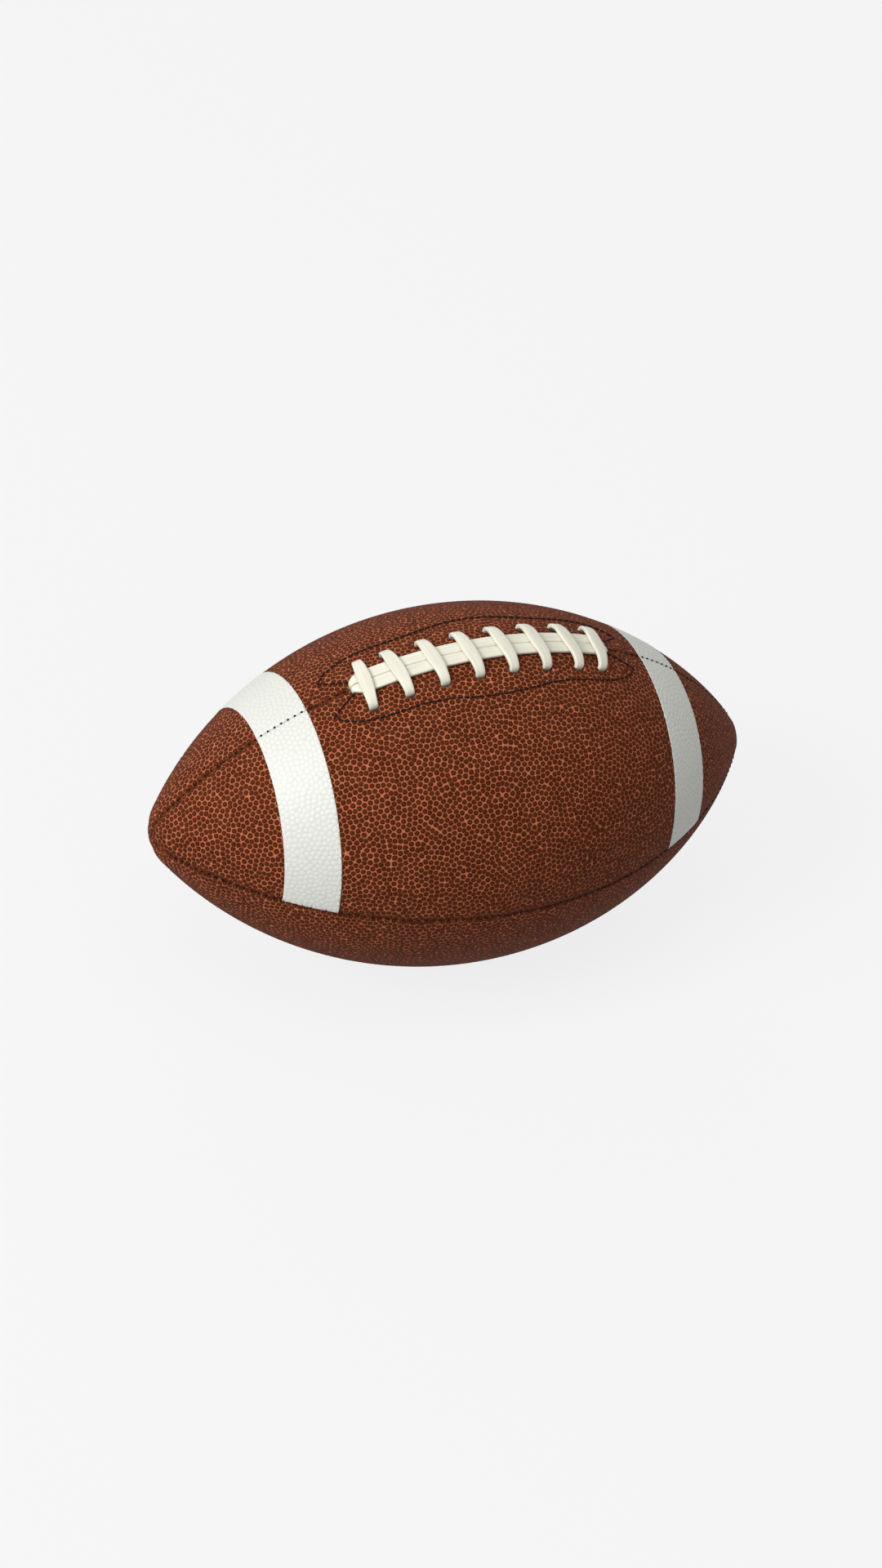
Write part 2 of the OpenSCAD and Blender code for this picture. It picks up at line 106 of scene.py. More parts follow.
def uAt(x):
    return arcR * math.asin(x / arcR)


# Small helpers for the materials
def linear(hexColour):
    parts = [int(hexColour[i:i + 2], 16) / 255 for i in (1, 3, 5)]
    return tuple(c / 12.92 if c <= 0.04045 else ((c + 0.055) / 1.055) ** 2.4 for c in parts) + (1.0,)


def newMaterial(name):
    material = bpy.data.materials.new(name)
    material.use_nodes = True
    return material, material.node_tree, material.node_tree.nodes["Principled BSDF"]


def addNode(tree, kind, inputs, **settings):
    node = tree.nodes.new(kind)
    for name, value in settings.items():
        setattr(node, name, value)
    for name, value in inputs.items():
        if isinstance(value, bpy.types.NodeSocket):
            tree.links.new(value, node.inputs[name])
        else:
            node.inputs[name].default_value = value
    return node


def attributeOf(tree, name, output="Fac"):
    return addNode(tree, "ShaderNodeAttribute", {}, attribute_name=name).outputs[output]


def noiseOf(tree, sizeMm, detail=2.0, rough=0.5):
    # a noise whose grains are about sizeMm wide
    place = addNode(tree, "ShaderNodeTexCoord", {}).outputs["Object"]
    inputs = {"Vector": place, "Scale": 1 / (sizeMm * mm), "Detail": detail, "Roughness": rough}
    return addNode(tree, "ShaderNodeTexNoise", inputs).outputs["Fac"]


def waveOf(tree, scale, direction, distortion=0.0):
    place = addNode(tree, "ShaderNodeTexCoord", {}).outputs["Object"]
    inputs = {"Vector": place, "Scale": scale, "Distortion": distortion}
    return addNode(tree, "ShaderNodeTexWave", inputs, bands_direction=direction).outputs["Fac"]


def rangeOf(tree, value, low, high, fromLow=0.0, fromHigh=1.0):
    inputs = {"Value": value, "From Min": fromLow, "From Max": fromHigh, "To Min": low, "To Max": high}
    return addNode(tree, "ShaderNodeMapRange", inputs, interpolation_type="SMOOTHSTEP").outputs["Result"]


def mixOf(tree, share, one, other):
    node = addNode(tree, "ShaderNodeMix", {"Factor": share}, data_type="RGBA")
    for socket, value in ((node.inputs[6], one), (node.inputs[7], other)):  # its two colours
        if isinstance(value, str):
            socket.default_value = linear(value)
        else:
            tree.links.new(value, socket)
    return node.outputs[2]


def rampOf(tree, value, stops):
    # colours at chosen values, each stop a value and a hex colour
    node = addNode(tree, "ShaderNodeValToRGB", {"Fac": value})
    elements = node.color_ramp.elements
    for k, (place, colour) in enumerate(stops):
        element = elements[k] if k < 2 else elements.new(place)  # a new ramp has two
        element.position, element.color = place, linear(colour)
    return node.outputs["Color"]


def mathOf(tree, operation, one, other):
    return addNode(tree, "ShaderNodeMath", {0: one, 1: other}, operation=operation).outputs["Value"]


def spreadOf(tree):
    # a point's way from its pebble's middle, 1 at the edge: half by a circle, half by the cell's own shape
    way = attributeOf(tree, "spread", "Vector")
    circle = addNode(tree, "ShaderNodeVectorMath", {0: way}, operation="LENGTH").outputs["Value"]
    return mathOf(tree, "MULTIPLY", mathOf(tree, "ADD", circle, attributeOf(tree, "share")), 0.5)


def bumpOf(tree, shader, height, depthMm, strength):
    inputs = {"Height": height, "Distance": depthMm * mm, "Strength": strength}
    bump = addNode(tree, "ShaderNodeBump", inputs)
    tree.links.new(bump.outputs["Normal"], shader.inputs["Normal"])


# Composite leather, embossed under a hot plate: the tops are rubbed dark and the floor between them keeps
# the lighter dye, so the eye sees dark pebbles in a warm net. Each pebble's middle is lighter, a painted
# sheen;
# a painted shade darkens the seams' creases, and along the seams and round the holes the leather is worn
# lighter, with a painted highlight there too
leatherLook = {
    # the crown colours, lighter than the foot colours, are a painted sheen on each pebble's top
    "groove": "#c2795a", "slope": "#8d4229", "foot": "#3c1205", "crown": "#553019",
    "grooveDark": "#a46748", "slopeDark": "#73321c", "footDark": "#310e03", "crownDark": "#442414",
    # shares of the way from a pebble's middle to its edge
    "places": {"crown": 0.25, "groove": 0.93, "foot": 0.62, "slope": 0.79},
    # the crease colour is a painted shade in the seams' creases; the worn colour is wear with a painted
    # highlight
    "creaseShade": "#1a0a06", "creaseShadeShare": 0.9, "wearAndHighlight": "#bd683c", "wearAndHighlightShare": 0.75, "wearAndHighlightMm": 2.5,
    "blotchMm": 6, "blotchShare": 0.75, "grainMm": 0.5, "grainDepth": 0.05,
    "roughTop": 0.6, "roughGroove": 0.9, "specular": 0.15, "sheen": "#ff9058",
}
pebbledLeather, tree, shader = newMaterial("pebbledLeather")
spread = spreadOf(tree)
skins = []
# from a light groove to a dark foot, then lighter again at the crown: a painted sheen
for tone in ("", "Dark"):
    stops = [(place, leatherLook[name + tone]) for name, place in leatherLook["places"].items()]
    skins.append(rampOf(tree, spread, stops))
blotchNoise = noiseOf(tree, leatherLook["blotchMm"], 4, 0.6)
blotches = rangeOf(tree, blotchNoise, 0, leatherLook["blotchShare"], 0.36, 0.66)
skin = mixOf(tree, blotches, *skins)
# lighter orange along the seams and round the holes: wear with a painted highlight
wearAndHighlightPatches = rangeOf(tree, noiseOf(tree, leatherLook["wearAndHighlightMm"]), 0, leatherLook["wearAndHighlightShare"], 0.5, 0.66)
skin = mixOf(tree, mathOf(tree, "MULTIPLY", attributeOf(tree, "seam"), wearAndHighlightPatches), skin, leatherLook["wearAndHighlight"])
# a painted shade in the seams' creases
creaseShade = mathOf(tree, "MULTIPLY", attributeOf(tree, "creaseShade"), leatherLook["creaseShadeShare"])
skin = mixOf(tree, creaseShade, skin, leatherLook["creaseShade"])
tree.links.new(skin, shader.inputs["Base Color"])
roughness = rangeOf(tree, spread, leatherLook["roughTop"], leatherLook["roughGroove"], 0.45, 0.8)
tree.links.new(roughness, shader.inputs["Roughness"])
shader.inputs["Specular IOR Level"].default_value = leatherLook["specular"]
shader.inputs["Specular Tint"].default_value = linear(leatherLook["sheen"])
bumpOf(tree, shader, noiseOf(tree, leatherLook["grainMm"], 3), leatherLook["grainDepth"], 0.6)

# White ink laid over the same embossing, which it half fills: matt, with a painted shade that makes it a
# little grey in the grooves and in the seams' creases
inkLook = {
    # the groove and crease colours are painted shade
    "top": "#e5e5de", "groove": "#d9dbd2", "creaseShade": "#dbdad2", "patchMm": 3, "roughness": (0.42, 0.55),
    "grainMm": 0.6, "grainDepth": 0.04,
}
stripeInk, tree, shader = newMaterial("stripeInk")
# a little grey in the grooves: painted shade
inkColour = mixOf(tree, rangeOf(tree, spreadOf(tree), 0, 1, 0.6, 0.95), inkLook["top"], inkLook["groove"])
# a painted shade in the seams' creases
inkColour = mixOf(tree, attributeOf(tree, "creaseShade"), inkColour, inkLook["creaseShade"])
tree.links.new(inkColour, shader.inputs["Base Color"])
roughness = rangeOf(tree, noiseOf(tree, inkLook["patchMm"]), *inkLook["roughness"])
tree.links.new(roughness, shader.inputs["Roughness"])
bumpOf(tree, shader, noiseOf(tree, inkLook["grainMm"], 3), inkLook["grainDepth"], 0.5)

# Vinyl strap, extruded: satin, with faint lines along it
strapLook = {"low": "#e6e3d0", "high": "#efecdc", "lineDepth": 0.12, "patchMm": 4, "roughness": (0.3, 0.42)}
laceVinyl, tree, shader = newMaterial("laceVinyl")
inputs = {"Vector": attributeOf(tree, "strapWay", "Vector"), "Scale": 1.0, "Detail": 2.0}
lines = addNode(tree, "ShaderNodeTexNoise", inputs).outputs["Fac"]
strapColour = mixOf(tree, rangeOf(tree, lines, 0, 1, 0.35, 0.65), strapLook["low"], strapLook["high"])
tree.links.new(strapColour, shader.inputs["Base Color"])
roughness = rangeOf(tree, noiseOf(tree, strapLook["patchMm"]), *strapLook["roughness"])
tree.links.new(roughness, shader.inputs["Roughness"])
bumpOf(tree, shader, lines, strapLook["lineDepth"], 0.4)

# Bonded nylon thread: twisted plies, nearly black, dull with wax
threadLook = {
    "dark": "#060302", "light": "#150b06", "roughness": 0.8, "specular": 0.2,
    "pliesMm": 1.1, "plyDepth": 0.06,  # about three plies lie in that length
}
seamThread, tree, shader = newMaterial("seamThread")
plies = waveOf(tree, 1 / (threadLook["pliesMm"] * mm), "DIAGONAL", 1.0)
tree.links.new(mixOf(tree, plies, threadLook["dark"], threadLook["light"]), shader.inputs["Base Color"])
shader.inputs["Roughness"].default_value = threadLook["roughness"]
shader.inputs["Specular IOR Level"].default_value = threadLook["specular"]
bumpOf(tree, shader, plies, threadLook["plyDepth"], 0.5)


def wovenCloth(name, dark, light, pitchMm):
    # matt cloth, lighter where its two yarns cross; a wave texture of scale 1 repeats every 0.314
    material, tree, shader = newMaterial(name)
    scale = 0.314 / (pitchMm * mm)
    crossing = mathOf(tree, "MULTIPLY", waveOf(tree, scale, "X"), waveOf(tree, scale, "Y"))
    tree.links.new(mixOf(tree, crossing, dark, light), shader.inputs["Base Color"])
    shader.inputs["Roughness"].default_value = 0.85
    bumpOf(tree, shader, crossing, 0.15, 0.6)
    return material


def mouldedRubber(name, dark, light, rough):
    # rubber from a blasted mould: a fine grain, cloudy and without much shine
    material, tree, shader = newMaterial(name)
    tree.links.new(mixOf(tree, noiseOf(tree, 6, 4), dark, light), shader.inputs["Base Color"])
    roughness = rangeOf(tree, noiseOf(tree, 1.5, 3), rough - 0.06, rough + 0.06)
    tree.links.new(roughness, shader.inputs["Roughness"])
    shader.inputs["Specular IOR Level"].default_value = 0.2
    bumpOf(tree, shader, noiseOf(tree, 0.4, 2), 0.03, 0.4)
    return material


# Cotton drill linings, canvas backings, coated cloth guard, butyl bladder and natural rubber valve
inner = {
    "lining": wovenCloth("liningDrill", "#a9a08a", "#d9d2bf", 0.9),
    "backing": wovenCloth("backingCanvas", "#b3a88d", "#e2d9c3", 1.3),
    "guard": wovenCloth("guardCoatedCloth", "#a39a86", "#cbc4b2", 2.0),
    "bladder": mouldedRubber("bladderButyl", "#1c1c1e", "#2b2b2d", 0.5),
    "housing": mouldedRubber("housingRubber", "#1b1a19", "#272524", 0.65),
    "plug": mouldedRubber("plugRubber", "#121110", "#1d1b1a", 0.55),
}
nodeLooks = {
    "lining_upper_front": "lining", "lining_upper_rear": "lining", "lining_lower_front": "lining",
    "lining_lower_rear": "lining", "lace_backing_front": "backing", "lace_backing_rear": "backing",
    "lace_guard": "guard", "bladder": "bladder", "valve_housing": "housing", "valve_plug": "plug",
}
for node, look in nodeLooks.items():
    for part in [o for o in bpy.data.objects if o.type == "MESH" and o.name.split(".")[0] == node]:
        part.data.materials.clear()
        part.data.materials.append(inner[look])
        print(part.name, "gets", look)
print("materials made")


def finishPiece(bm, name, material, slot, *nodes):
    for face in bm.faces:
        face.smooth = True
    mesh = bpy.data.meshes.new(name)
    bm.to_mesh(mesh)
    bm.free()
    piece = bpy.data.objects.new(name, mesh)
    bpy.context.collection.objects.link(piece)
    mesh.materials.append(material)
    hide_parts(*nodes)
    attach(piece, "root")
    print(name, len(mesh.polygons), "faces")


# The places of the lacing, in millimetres
lacing = {
    "holePitch": 16.1, "endPitch": 12.1, "rowShift": 1.0, "rowS": 13.0, "holeRadius": 2.7,
    "keyholeX": 58.6, "keyholeRadius": 3.2, "slitWidth": 1.6,
}
rowLength = 6 * lacing["holePitch"] + lacing["endPitch"]
frontRow = [min(i * lacing["holePitch"], rowLength) - rowLength / 2 - lacing["rowShift"] for i in range(8)]
rearRow = [-x for x in reversed(frontRow)]


def rowHoles(row):
    # each hole's way from the middle, its turn from the side seam and its radius
    holes = [(uAt(x), quarter - lacing["rowS"] / radiusAt(x), lacing["holeRadius"]) for x in row]
    keyholes = (-lacing["keyholeX"], lacing["keyholeX"])
    return holes + [(uAt(x), quarter, lacing["keyholeRadius"]) for x in keyholes]


# The cover's pebbles, in millimetres unless named as shares; the cover's thickness and a pebble's floor,
# rim and crown are depths below the cover's surface
leather = {
    "pitch": 2.55, "thickness": 2.0, "floor": 0.30, "rim": 0.06, "crown": 0.0,
    "rimShare": 0.68, "crownShare": 0.36, "roundness": 0.8,
    # the crease and worn widths reach the painted shade in the crease and the wear with its painted
    # highlight
    "seamDepth": 0.55, "seamWidth": 1.4, "rolling": 1, "creaseShadeWidth": 0.6, "wearAndHighlightWidth": 1.8,
}
# How the middles of the pebbles are spread: rows shaken up, then pushed apart
spreading = {
    "rowShare": 0.866, "stagger": 0.25, "jitterShare": 0.42, "startGap": 0.4,
    "rounds": 16, "netRounds": 4, "push": 0.2, "reachShare": 1.18, "endGap": 0.3, "seamGap": 0.2,
    "mirrorShare": 3, "ringShare": 0.7, "mergeDistance": 0.3, "borderSnap": 0.5, "holeSnapShare": 0.54,
}

# A flat map of a panel that keeps angles: q along the ball, and the turn about its axis across
mapSteps = 4000
stepU = np.linspace(-endU, endU, 2 * mapSteps + 1)
stepR = outline(stepU)[1]
stepQ = np.concatenate([[0], np.cumsum(np.diff(stepU) * (1 / stepR[1:] + 1 / stepR[:-1]) / 2)])
stepQ -= stepQ[mapSteps]
endQ = stepQ[-1]


def mirrored(u, turn):
    # the points near a border again, mirrored over it: source, side of u, side of turn
    reach = spreading["mirrorShare"] * leather["pitch"]
    index, r = np.arange(len(u)), outline(u)[1]
    everywhere = np.full(len(u), True)
    parts = [(index, index * 0, index * 0)]
    sidesU = ((0, everywhere), (-1, u < reach - endU), (1, u > endU - reach))
    sidesTurn = ((0, everywhere), (-1, turn * r < reach), (1, (quarter - turn) * r < reach))
    for sideU, nearU in sidesU:
        for sideTurn, nearTurn in sidesTurn:
            if sideU or sideTurn:
                picked = index[nearU & nearTurn]
                parts.append((picked, picked * 0 + sideU, picked * 0 + sideTurn))
    return [np.concatenate(part) for part in zip(*parts)]


def unfolded(u, turn, mirrors):
    # the places of all points with their mirror images, as way over the surface, q and turn
    source, sideU, sideTurn = mirrors
    flatU = np.where(sideU == 0, u[source], 2 * sideU * endU - u[source])
    q = np.interp(u, stepU, stepQ)[source]
    flatQ = np.where(sideU == 0, q, 2 * sideU * endQ - q)
    flatTurn = np.where(sideTurn == 0, turn[source], (sideTurn + 1) * quarter - turn[source])
    return flatU, flatQ, flatTurn


def triangles(q, turn):
    return np.array(delaunay_2d_cdt(np.stack([q, turn], 1).tolist(), [], [], 0, 1e-9)[2])


def shakenRows(rng):
    # rows of middles, as many in each as fit its girth, each middle shaken off its place
    pitch = leather["pitch"]
    u, turn = [], []
    for k, rowU in enumerate(np.arange(pitch / 2 - endU, endU - pitch / 2, pitch * spreading["rowShare"])):
        count = max(1, round(float(outline(rowU)[1]) * quarter / pitch))
        start = 0.5 + (spreading["stagger"] if k % 2 else -spreading["stagger"])
        u += [rowU] * count
        turn += [(i + start) / count * quarter for i in range(count)]
    u, turn = np.array(u), np.array(turn)
    jitter, gap = pitch * spreading["jitterShare"], spreading["startGap"]
    u = np.clip(u + rng.normal(0, jitter, len(u)), gap - endU, endU - gap)
    turn = turn + rng.normal(0, jitter, len(u)) / outline(u)[1]
    return u, np.clip(turn, gap / outline(u)[1], quarter - gap / outline(u)[1])


def clearedOfHoles(u, turn, holes):
    # drops the middles in the holes, then adds fixed ones just inside each edge to keep the rest off it
    for holeU, holeTurn, radius in holes:
        out = np.hypot(u - holeU, (turn - holeTurn) * float(outline(holeU)[1])) > radius
        u, turn = u[out], turn[out]
    free = len(u)
    for holeU, holeTurn, radius in holes:
        r, ring = float(outline(holeU)[1]), radius - leather["pitch"] / 2
        count = max(4, round(2 * math.pi * ring / (leather["pitch"] * spreading["ringShare"])))
        angles = (np.arange(count) + 0.5) / count * 2 * math.pi
        ringU, ringTurn = holeU + ring * np.cos(angles), holeTurn + ring * np.sin(angles) / r
        inside = ringTurn < quarter
        u, turn = np.append(u, ringU[inside]), np.append(turn, ringTurn[inside])
    return u, turn, free


def netOf(u, turn, mirrors):
    # the pairs of neighbours, as two lists of points
    tri = triangles(*unfolded(u, turn, mirrors)[1:])
    edges = np.concatenate([tri[:, [0, 1]], tri[:, [1, 2]], tri[:, [2, 0]]])
    edges = np.unique(np.sort(edges, 1), axis=0)
    return edges[edges[:, 0] < len(u)].T


def scatter(seed, holes):
    # evenly spread middles of pebbles, pushed apart like springs until they fill the panel
    u, turn, free = clearedOfHoles(*shakenRows(np.random.default_rng(seed)), holes)
    reach, endGap = spreading["reachShare"] * leather["pitch"], spreading["endGap"]
    for k in range(spreading["rounds"]):
        if k % spreading["netRounds"] == 0:
            mirrors = mirrored(u, turn)
            a, b = netOf(u, turn, mirrors)
        flatU, flatQ, flatTurn = unfolded(u, turn, mirrors)
        r = outline(u)[1]
        flatR = r[mirrors[0]]
        du, dv = flatU[b] - flatU[a], (flatTurn[b] - flatTurn[a]) * (flatR[a] + flatR[b]) / 2
        gap = np.hypot(du, dv)
        push = spreading["push"] * np.maximum(0, reach - gap) / np.maximum(gap, tiny)
        moveU, moveV = np.zeros(len(flatU)), np.zeros(len(flatU))
        for move, step in ((moveU, du), (moveV, dv)):
            np.add.at(move, a, -push * step)
            np.add.at(move, b, push * step)
        low = spreading["seamGap"] / r[:free]
        u[:free] = np.clip(u[:free] + moveU[:free], endGap - endU, endU - endGap)
        turn[:free] = np.clip(turn[:free] + moveV[:free] / r[:free], low, quarter - low)
    return u, turn, free


def circleMiddles(spots, tri):
    # the middle of the circle through each triangle's corners, where three pebbles meet
    a, b, c = (spots[tri[:, k]] for k in range(3))
    ab, ac = b - a, c - a
    area = 2 * (ab[:, 0] * ac[:, 1] - ab[:, 1] * ac[:, 0])
    longAb, longAc = (ab**2).sum(1), (ac**2).sum(1)
    along = ac[:, 1] * longAb - ab[:, 1] * longAc
    across = ab[:, 0] * longAc - ac[:, 0] * longAb
    return a + np.stack([along, across], 1) / area[:, None]


def drawnToBorders(bm, holes):
    # moves the corners next to a seam, a point or a hole onto it
    along, turned = bm.verts.layers.float["along"], bm.verts.layers.float["turn"]
    snap, holeSnap = spreading["borderSnap"], leather["pitch"] * spreading["holeSnapShare"]
    for v in [v for v in bm.verts if v.is_boundary]:
        r = float(outline(v[along])[1])
        if v[turned] * r < snap:
            v[turned] = 0
        if (quarter - v[turned]) * r < snap:
            v[turned] = quarter
        if endU - abs(v[along]) < snap:
            v[along] = math.copysign(endU, v[along])
        for holeU, holeTurn, radius in holes:
            holeR = float(outline(holeU)[1])
            du, dv = v[along] - holeU, (v[turned] - holeTurn) * holeR
            if math.hypot(du, dv) < radius + holeSnap:
                grow = radius / math.hypot(du, dv)
                v[along], v[turned] = holeU + du * grow, min(quarter, holeTurn + dv * grow / holeR)


def cellMesh(seed, holes):
    # one flat cell round each pebble's middle, whose corners keep their way from the middle and their turn
    u, turn, free = scatter(seed, holes)
    flatQ, flatTurn = unfolded(u, turn, mirrored(u, turn))[1:]
    tri, spots = triangles(flatQ, flatTurn), np.stack([flatQ, flatTurn], 1)
    middle = circleMiddles(spots, tri)
    owner, which = tri.ravel(), np.repeat(np.arange(len(tri)), 3)
    owner, which = owner[owner < free], which[owner < free]
    spoke = middle[which] - spots[owner]
    order = np.lexsort((np.arctan2(spoke[:, 1], spoke[:, 0]), owner))
    owner, which = owner[order], which[order]
    bm = bmesh.new()
    along, turned = bm.verts.layers.float.new("along"), bm.verts.layers.float.new("turn")
    cornerU = np.interp(middle[:, 0], stepQ, stepU)
    places = onBall(cornerU, middle[:, 1], np.zeros(len(middle))) / mm
    corners = {}
    for k in np.unique(which).tolist():
        corners[k] = bm.verts.new(places[k])
        corners[k][along], corners[k][turned] = cornerU[k], middle[k, 1]
    for ring in np.split(which, np.flatnonzero(np.diff(owner)) + 1):
        bm.faces.new([corners[k] for k in ring.tolist()])
    bmesh.ops.remove_doubles(bm, verts=bm.verts, dist=spreading["mergeDistance"])
    drawnToBorders(bm, holes)
    for v, place in zip(bm.verts, onBall(*vertArrays(bm, bm.verts), 0.0) / mm):
        v.co = place
    bmesh.ops.remove_doubles(bm, verts=bm.verts, dist=spreading["mergeDistance"])
    return bm


def vertArrays(bm, verts):
    along, turned = bm.verts.layers.float["along"], bm.verts.layers.float["turn"]
    return np.array([v[along] for v in verts]), np.array([v[turned] for v in verts])


def lowered(bm, verts, panel, depth, rolling):
    # puts the corners at a depth below the cover's surface, rolled down towards the seams
    u, turn = vertArrays(bm, verts)
    seamGap = np.minimum(turn, quarter - turn) * outline(u)[1]
    roll = rolling * leather["seamDepth"] * np.maximum(0, 1 - seamGap / leather["seamWidth"]) ** 2
    slit = (turn > quarter - tiny) & (np.abs(u) < panel["slitU"])
    turn = np.where(slit, turn - lacing["slitWidth"] / 2 / outline(u)[1], turn)
    for v, place in zip(verts, onBall(u, panel["start"] + panel["way"] * turn, depth + roll).tolist()):
        v.co = place


def shelled(bm, panel):
    # closes the flat cells to a shell, whose kept faces become its inside; gives its outer cells
    made = bmesh.ops.extrude_face_region(bm, geom=list(bm.faces), use_keep_orig=True)["geom"]
    outer = [g for g in made if isinstance(g, bmesh.types.BMFace)]
    outerVerts = {v for cell in outer for v in cell.verts}
    lowered(bm, [v for v in bm.verts if v not in outerVerts], panel, leather["thickness"], 0)
    lowered(bm, list(outerVerts), panel, 0, 0)
    bmesh.ops.recalc_face_normals(bm, faces=bm.faces)
    if bm.calc_volume(signed=True) < 0:
        bmesh.ops.reverse_faces(bm, faces=bm.faces)
    return outer


def pebbled(bm, cells, panel, skin):
    # every cell gets a sloped rim and a low crown
    floor = skin["floor"]
    lowered(bm, list({v for cell in cells for v in cell.verts}), panel, floor, skin["rolling"])
    bm.normal_update()
    shares = ((leather["rimShare"], floor - skin["rim"]), (leather["crownShare"], floor - skin["crown"]))
    spread, cellShare = bm.loops.layers.float_vector.new("spread"), bm.verts.layers.float.new("share")
    for v in bm.verts:
        v[cellShare] = 1
    targets = []
    for cell in cells:
        centre, out = cell.calc_center_median(), cell.normal
        spokes = [v.co - centre for v in cell.verts]
        even = sum(s.length for s in spokes) / len(spokes)
        for loop, s in zip(cell.loops, spokes):
            loop[spread] = s / even
        rounder = [s * (even / s.length) ** leather["roundness"] for s in spokes]
        targets.append([[(centre + s * share + out * lift * mm, s * share / even) for s in rounder]
                        for share, lift in shares])
    for ring in range(len(shares)):
        bmesh.ops.inset_individual(bm, faces=cells, thickness=0, depth=0)
        for cell, rings in zip(cells, targets):
            for loop, (place, reach) in zip(cell.loops, rings[ring]):
                loop.vert.co, loop.vert[cellShare] = place, shares[ring][0]
                loop[spread] = reach  # and on the two new faces that share the corner
                loop.link_loop_radial_next.link_loop_next[spread] = reach
                loop.link_loop_prev.link_loop_radial_next[spread] = reach
    for v in bm.verts:
        v.co.z = max(v.co.z, 0)
    markSeams(bm, panel)


def markSeams(bm, panel):
    # how near each point lies to a seam's crease, for its painted shade, and to a seam or hole edge, where
    # the leather wears and gets a painted highlight
    creaseShade, seam = bm.verts.layers.float.new("creaseShade"), bm.verts.layers.float.new("seam")
    verts = list(bm.verts)
    u, turn = vertArrays(bm, verts)
    # the seam is measured from a point's own place, not from that of the cell corner it came from
    spots = np.array([v.co for v in verts]) / mm
    r = np.hypot(spots[:, 1], spots[:, 2] - midHeight)
    around = np.arctan2(spots[:, 2] - midHeight, spots[:, 1])
    offSeam = np.abs(((around + quarter / 2) % quarter) - quarter / 2) * r
    # a painted shade in the seam's crease
    dark = np.clip(1 - offSeam / leather["creaseShadeWidth"], 0, 1)
    for holeU, holeTurn, radius in panel["holes"]:
        offHole = np.hypot(u - holeU, (turn - holeTurn) * float(outline(holeU)[1])) - radius
        offSeam = np.minimum(offSeam, offHole + 1)
    # wear with a painted highlight along the seams and round the holes
    wearAndHighlight = np.clip(1 - offSeam / leather["wearAndHighlightWidth"], 0, 1)
    for v, d, w in zip(verts, dark.tolist(), wearAndHighlight.tolist()):
        v[creaseShade], v[seam] = d, w


# The four panels: where each starts about the axis, which way it turns and what is cut in it
valveHole = (0.0, quarter / 2, 3.4)
slitU = uAt(lacing["keyholeX"] - 2)
panels = {
    "upper_rear": {"start": 0, "way": 1, "seed": 3, "holes": rowHoles(rearRow), "slitU": slitU},
    "upper_front": {"start": math.pi, "way": -1, "seed": 5, "holes": rowHoles(frontRow), "slitU": slitU},
    "lower_front": {"start": math.pi, "way": 1, "seed": 7, "holes": [], "slitU": 0},
    "lower_rear": {"start": 0, "way": -1, "seed": 9, "holes": [valveHole], "slitU": 0},
}
# A stripe's ink, in millimetres, between two places along the ball; its floor, rim and crown are depths
# too, and stand over the cover's surface because they are below zero
stripe = {
    "from": 80.0, "to": 101.0, "thickness": 0.1,
    "floor": -0.03, "rim": -0.15, "crown": -0.2, "rolling": 0.55,
    "spare": 4,  # way by which its cells reach past both edges before they are cut
}


def inkedBand(cells, panel, end):
    # the ink repeats the panel's own pebbles between the stripe's edges
    band = cells.copy()
    along = band.verts.layers.float["along"]
    lowU, highU = uAt(stripe["from"]) - stripe["spare"], uAt(stripe["to"]) + stripe["spare"]
    away = [f for f in band.faces if not all(lowU < end * v[along] < highU for v in f.verts)]
    bmesh.ops.delete(band, geom=away, context="FACES")
    if panel["way"] > 0:
        bmesh.ops.reverse_faces(band, faces=band.faces)
    pebbled(band, list(band.faces), panel, stripe)
    for x, side in ((stripe["from"], -1), (stripe["to"], 1)):
        geom = list(band.verts) + list(band.edges) + list(band.faces)
        bmesh.ops.bisect_plane(band, geom=geom, plane_co=(end * x * mm, 0, 0), plane_no=(end * side, 0, 0),
                               clear_outer=True)
    bmesh.ops.solidify(band, geom=list(band.faces), thickness=stripe["thickness"] * mm)
    bmesh.ops.recalc_face_normals(band, faces=band.faces)
    return band


for name, panel in panels.items():
    cells = cellMesh(panel["seed"], panel["holes"])
    print(name, "panel has", len(cells.faces), "pebbles")
    side = name.split("_")[1]
    for end, word in ((-1, "left"), (1, "right")) if "upper" in name else ():
        band = inkedBand(cells, panel, end)
        stripeName = "stripe" + word.title() + side.title()
        finishPiece(band, stripeName, stripeInk, "stripe_paint", "stripe_%s_%s" % (word, side))
    pebbled(cells, shelled(cells, panel), panel, leather)
    coverName = "cover" + name.title().replace("_", "")
    finishPiece(cells, coverName, pebbledLeather, "cover_leather", "cover_panel_" + name)
print("cover and stripes made")


# The lace, in millimetres; it is swept along its route
lace = {
    "crossWidth": 6.1, "strandWidth": 6.0, "strandGap": 0.2, "thickness": 1.75, "roundness": 4.5,
    "drawnWidth": 4.3, "drawnShare": 1.15, "drawFrom": 0.3, "drawOver": 0.65,  # its form in a hole
    "gap": 0.2, "layGap": 0.15, "innerX": 60.5, "innerGap": 0.4, "strandX": 54.5, "strandSteps": 8,
    "tail": 3,  # in thicknesses
    "fit": 0.05, "lining": 0.8, "backing": 1.0,  # what lies between the cover and the inner passes
    "steps": 5, "sides": 20, "lineLength": 25, "lineWidth": 0.9,
}
strandWidth, thick = lace["strandWidth"], lace["thickness"]
strandH = lace["layGap"] + thick / 2
crossH = strandH + thick + lace["gap"]
liningDepth = leather["thickness"] + lace["fit"] + lace["lining"] + lace["fit"] + lace["backing"]
innerH = -(liningDepth + lace["layGap"] + thick / 2)
strandS = strandWidth / 2 + lace["strandGap"] / 2
drawnThick = thick * lace["drawnShare"]
innerS, innerX, rowS = drawnThick / 2 + lace["innerGap"], lace["innerX"], lacing["rowS"]

